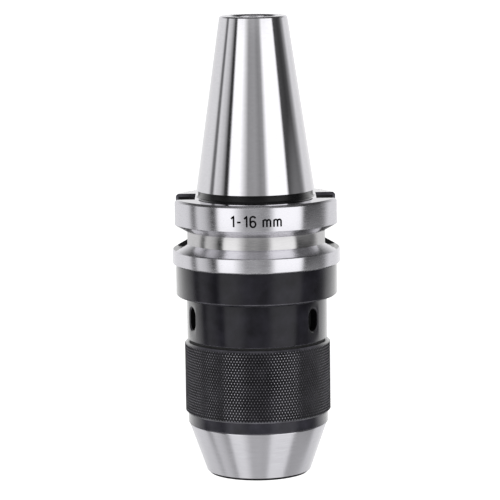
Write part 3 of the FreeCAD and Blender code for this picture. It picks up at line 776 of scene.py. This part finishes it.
def knurled_grip():
    """The grip sleeve, with a raised diamond knurl of 1 mm pitch at 30 degrees.

    Crests and valleys alternate along rows that are half a diamond apart. Every crest is a
    small flat, left by the bar's turned surface, and four flanks lead down from it.
    """
    top, bottom = GRIP_TOP - GRIP_CHAMFER, GRIP_BOTTOM + GRIP_CHAMFER
    columns = 2 * round(2 * math.pi * GRIP_RADIUS / (KNURL_PITCH / math.cos(KNURL_LEAN)))
    rows = math.floor((top - bottom) / (KNURL_PITCH / math.sin(KNURL_LEAN) / 2))
    vertices, faces, finishes = [], [], []

    def point(radius, column, level):
        """Adds a vertex, and gives its number."""
        vertices.append(on_circle(radius, column / columns, level))
        return len(vertices) - 1

    def row_level(row):
        return bottom + (top - bottom) * row / rows

    def face(finish, *corners):
        faces.append(corners)
        finishes.append(finish)

    valley, crest = {}, {}
    for row in range(rows + 1):
        past_end = (row == rows) - (row == 0)  # the end rows' valleys run out into the chamfers
        for column in range(columns):
            if (column + row) % 2:
                level = row_level(row) + past_end * KNURL_DEPTH
                valley[column, row] = point(GRIP_RADIUS - KNURL_DEPTH, column, level)
                continue
            sides = {
                "west": point(GRIP_RADIUS, column - KNURL_FLAT, row_level(row)),
                "east": point(GRIP_RADIUS, column + KNURL_FLAT, row_level(row)),
            }
            if row < rows:
                sides["north"] = point(GRIP_RADIUS, column, row_level(row + KNURL_FLAT))
            if row > 0:
                sides["south"] = point(GRIP_RADIUS, column, row_level(row - KNURL_FLAT))
            crest[column, row] = sides
            order = [sides[s] for s in ("west", "south", "east", "north") if s in sides]
            face(KNURL_CREST, *order)
    for (column, row), sides in crest.items():
        for along, step in (("east", 1), ("west", -1)):
            beside = valley[(column + step) % columns, row]
            for up, rise in (("north", 1), ("south", -1)):
                if up in sides:
                    face(KNURL_BLACK, sides[along], beside, valley[column, row + rise], sides[up])

    # The plain rings of the sleeve, from the top of the knurl round the inside to its bottom,
    # each with the finish of the face that follows
    ends = [
        (GRIP_RADIUS - GRIP_CHAMFER, GRIP_TOP, BLACKED_RING),
        (HOUSING_SPIGOT_RADIUS, GRIP_TOP, BLACKED_RING),
        (HOUSING_SPIGOT_RADIUS, SPIGOT_END, BLACKED_RING),
        (GUIDE_RADIUS, SPIGOT_END, BLACKED_RING),
        (GUIDE_RADIUS, CONE_TOP, BLACKED_RING),
        (NOSE_SPIGOT_RADIUS, CONE_TOP, BLACKED_RING),
        (NOSE_SPIGOT_RADIUS, RING_BOTTOM, BLACKED_RING),
        # The ring's chamfer takes the lighter grey of the painted edge highlight
        (RING_RADIUS - RING_CHAMFER, RING_BOTTOM, EDGE_HIGHLIGHT_GREY),
        (RING_RADIUS, RING_BOTTOM + RING_CHAMFER, BLACKED_RING),
        (RING_RADIUS, GRIP_BOTTOM + RING_FILLET, BLACKED_RING),
        (RING_RADIUS + RING_FILLET, GRIP_BOTTOM, BLACKED_RING),
        (GRIP_RADIUS - GRIP_CHAMFER, GRIP_BOTTOM, BLACKED_RING),
    ]
    rings = [[point(radius, k, level) for k in range(columns)] for radius, level, _ in ends]
    for (_, _, finish), here, there in zip(ends, rings, rings[1:]):
        for column in range(columns):
            after = (column + 1) % columns
            face(finish, here[column], here[after], there[after], there[column])
    # Where the knurl runs out into the chamfers, its ends take the lighter grey of the painted edge
    # highlight
    for row, ring in ((rows, rings[0]), (0, rings[-1])):
        for column in range(columns):
            after = (column + 1) % columns
            if (column, row) in crest:
                sides = crest[column, row]
                face(EDGE_HIGHLIGHT_GREY, sides["east"], valley[after, row], ring[after], ring[column])
                face(EDGE_HIGHLIGHT_GREY, sides["west"], sides["east"], ring[column])
            else:
                beside = crest[after, row]["west"]
                face(EDGE_HIGHLIGHT_GREY, valley[column, row], beside, ring[after], ring[column])
    grip = finish_mesh("knurled_sleeve_body", vertices, faces, finishes, corner_angle=20.0)
    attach(grip, "sleeve")
    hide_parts("knurled_sleeve")


def nose():
    """The satin-turned nose, whose inner cone closes the jaws."""
    end = NOSE_TOP_RADIUS - (RING_BOTTOM - NOSE_BOTTOM) * NOSE_SLOPE
    end_edge = end + NOSE_END_CHAMFER * NOSE_SLOPE
    mouth = GUIDE_RADIUS - (CONE_TOP - NOSE_BOTTOM) * CONE_SLOPE
    groove_low = RING_BOTTOM + NOSE_GROOVE_RISE - NOSE_GROOVE_HALF
    groove_top = RING_BOTTOM + NOSE_GROOVE_RISE + NOSE_GROOVE_HALF
    groove_floor = NOSE_SPIGOT_RADIUS - NOSE_GROOVE_DEPTH
    top_edge = NOSE_TOP_RADIUS - NOSE_TOP_CHAMFER * NOSE_SLOPE
    outline = [
        (mouth, NOSE_BOTTOM, NOSE_STEEL),
        (end_edge - NOSE_END_CHAMFER, NOSE_BOTTOM, FACED_STEEL),
        (end_edge, NOSE_BOTTOM + NOSE_END_CHAMFER, NOSE_STEEL),
        (top_edge, RING_BOTTOM - NOSE_TOP_CHAMFER, NOSE_STEEL),
        (NOSE_TOP_RADIUS - NOSE_TOP_CHAMFER, RING_BOTTOM, NOSE_STEEL),
        (NOSE_SPIGOT_RADIUS, RING_BOTTOM, NOSE_STEEL),
        (NOSE_SPIGOT_RADIUS, groove_low, NOSE_STEEL),
        (groove_floor, groove_low, NOSE_STEEL),
        (groove_floor, groove_top, NOSE_STEEL),
        (NOSE_SPIGOT_RADIUS, groove_top, NOSE_STEEL),
        (NOSE_SPIGOT_RADIUS, CONE_TOP, NOSE_STEEL),
        (GUIDE_RADIUS, CONE_TOP, NOSE_STEEL),
    ]
    body = turned("nose_cone_body", outline)
    break_edges(body)
    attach(body, "sleeve")
    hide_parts("nose_cone")


# ------------------------------------------------------------------ inner pieces


INNER_FINISH = {
    "screw_nut": NUT_BRONZE,
    "nut_lock_pin": JAW_STEEL,
    "dust_seal_ring": SEAL_RUBBER,
    "lower_race": BEARING_STEEL,
    "thrust_collar": JAW_STEEL,
    "collar_lock_screws": BLACKED_STEEL,
    "upper_race": BEARING_STEEL,
    "seam_seal": SEAL_RUBBER,
    "nose_seal_ring": SEAL_RUBBER,
    "jaw_guide": JAW_STEEL,
    "guide_keys": JAW_STEEL,
    "bearing_balls": BEARING_STEEL,
    "ball_cage": CAGE_BRASS,
    "spindle": JAW_STEEL,
    "jaw_1": JAW_STEEL,
    "jaw_2": JAW_STEEL,
    "jaw_3": JAW_STEEL,
}


def finish_inner_pieces():
    """The finishes of the pieces that keep the frame's own meshes."""
    for name, finish in INNER_FINISH.items():
        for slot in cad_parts[name].material_slots:
            slot.material = finish


# ------------------------------------------------------------------ studio


# What the polished steel mirrors, by the angle round the chuck from the camera's side towards
# +X: (degrees, brightness). Two tall softboxes stand in front, with black flags beside them.
STUDIO = [
    (-180, 1.0),
    (-160, 1.0),
    (-140, 0.98),
    (-112, 1.0),
    (-104, 0.9),
    (-98, 0.2),
    (-93, 0.2),
    (-88, 1.0),
    (-74, 0.75),
    (-66, 0.3),
    (-63, 0.04),
    (-57, 0.04),
    (-53, 1.6),
    (-32, 1.6),
    (-23, 0.95),
    (-15, 0.42),
    (0, 0.46),
    (10, 0.34),
    (18, 0.42),
    (27, 1.6),
    (64, 1.6),
    (69, 0.1),
    (86, 0.06),
    (97, 0.1),
    (108, 0.4),
    (119, 0.98),
    (140, 0.98),
    (160, 1.05),
    (180, 1.0),
]
CARD_WAY = (1.0, 0.0, -0.36)  # towards a grey card, low on the right
CARD_LEVEL = 0.24
TABLE_LEVEL = 0.76
SHADOW_WAY = (0.0, 0.7, -1.0)  # towards the chuck's own shadow, low behind it
SHADOW_LEVEL = 0.03


def grey(level):
    return (level, level, level)


def studio_walls(tree, parts):
    """The studio's brightness by the angle round the chuck."""
    toward = add_node(tree, "ShaderNodeMath", {"operation": "MULTIPLY"}, {0: parts["Y"], 1: -1.0})
    angle = add_node(
        tree, "ShaderNodeMath", {"operation": "ARCTAN2"}, {0: parts["X"], 1: toward.outputs[0]}
    )
    full_turn = {"Value": angle.outputs[0], "From Min": -math.pi, "From Max": math.pi}
    part_of_turn = add_node(tree, "ShaderNodeMapRange", inputs=full_turn).outputs["Result"]
    bands = add_node(tree, "ShaderNodeValToRGB", inputs={"Fac": part_of_turn})
    brightest = max(level for _, level in STUDIO)
    stops = bands.color_ramp.elements
    while len(stops) < len(STUDIO):
        stops.new(0.5)
    for stop, (degrees, level) in zip(stops, STUDIO):
        stop.position = (degrees + 180) / 360
        stop.color = (*grey(level / brightest), 1.0)
    return add_node(
        tree,
        "ShaderNodeVectorMath",
        {"operation": "SCALE"},
        {0: bands.outputs["Color"], "Scale": brightest},
    ).outputs[0]


def studio_light():
    """A round studio drawn in the world. The camera sees plain white in its place."""
    world = bpy.data.worlds.new("studio")
    bpy.context.scene.world = world
    world.use_nodes = True
    tree = world.node_tree
    tree.nodes.clear()
    way = add_node(tree, "ShaderNodeTexCoord").outputs["Generated"]
    parts = add_node(tree, "ShaderNodeSeparateXYZ", inputs={0: way}).outputs
    toward_card, toward_shadow = [
        add_node(
            tree, "ShaderNodeVectorMath", {"operation": "DOT_PRODUCT"}, {0: way, 1: direction}
        ).outputs["Value"]
        for direction in (CARD_WAY, SHADOW_WAY)
    ]
    # Each span takes a value from none of the layer to all of it
    card, overhead, in_front, table, shadow = [
        add_node(tree, "ShaderNodeMapRange", inputs=span).outputs["Result"]
        for span in (
            {"Value": toward_card, "From Min": 0.98, "From Max": 1.04},
            {"Value": parts["Z"], "From Min": 0.35, "From Max": 0.6},
            {"Value": parts["Y"], "From Min": -0.2, "From Max": -0.4, "To Min": 0.07, "To Max": 0.75},
            {"Value": parts["Z"], "From Min": -0.35, "From Max": -0.5, "To Max": 0.66},
            {"Value": toward_shadow, "From Min": 0.95, "From Max": 1.03},
        )
    ]
    seen = add_node(tree, "ShaderNodeLightPath").outputs["Is Camera Ray"]
    room = studio_walls(tree, parts)
    for share, light in (
        (card, grey(CARD_LEVEL)),
        (overhead, in_front),
        (table, grey(TABLE_LEVEL)),
        (shadow, grey(SHADOW_LEVEL)),
        (seen, grey(1.0)),
    ):
        # In its vector form the node mixes its inputs 4 and 5 into its output 1
        layer = {"Factor": share, 4: room, 5: light}
        room = add_node(tree, "ShaderNodeMix", {"data_type": "VECTOR"}, layer).outputs[1]
    glow = add_node(tree, "ShaderNodeBackground", inputs={"Color": room})
    add_node(tree, "ShaderNodeOutputWorld", inputs={"Surface": glow.outputs[0]})


def floor():
    """A wide pale floor, bright enough to run into the white room, and clear from below."""
    material, tree, shader = new_material("pale_floor")
    look = {
        "Base Color": linear("#f4f4f4"),
        "Roughness": 0.8,
        "Emission Color": linear("#ffffff"),
        "Emission Strength": 0.8,
    }
    set_inputs(tree, shader, look)
    below = add_node(tree, "ShaderNodeNewGeometry").outputs["Backfacing"]
    clear = add_node(tree, "ShaderNodeBsdfTransparent").outputs[0]
    one_sided = add_node(
        tree, "ShaderNodeMixShader", inputs={0: below, 1: shader.outputs[0], 2: clear}
    )
    set_inputs(tree, tree.nodes["Material Output"], {"Surface": one_sided.outputs[0]})
    reach = 4000
    corners = [
        (x * reach, y * reach, NOSE_BOTTOM) for x, y in ((-1, -1), (1, -1), (1, 1), (-1, 1))
    ]
    sheet = finish_mesh("floor", corners, [(0, 1, 2, 3)], [material])
    sheet.visible_glossy = False


def camera():
    """A long lens a metre away, a little above the chuck's middle."""
    distance, elevation, lean = 1001.5, math.radians(8.26), math.radians(-0.78)
    aim = Vector((-2.35, 0, -22.52))
    data = bpy.data.cameras.new("camera")
    data.lens = 191.8
    data.sensor_width = 36.0
    data.clip_start = 0.05
    data.clip_end = 20.0
    holder = bpy.data.objects.new("camera", data)
    bpy.context.scene.collection.objects.link(holder)
    back = Vector((0, -math.cos(elevation), math.sin(elevation)))
    turn = (-back).to_track_quat("-Z", "Y").to_matrix().to_4x4()
    spot = Matrix.Translation((aim + back * distance) * MM)
    holder.matrix_world = spot @ turn @ Matrix.Rotation(lean, 4, "Z")
    bpy.context.scene.camera = holder


shank()
stud_thread()
capacity_mark()
neck()
knurled_grip()
nose()
finish_inner_pieces()
studio_light()
floor()
camera()
bpy.context.scene.view_settings.view_transform = "Standard"
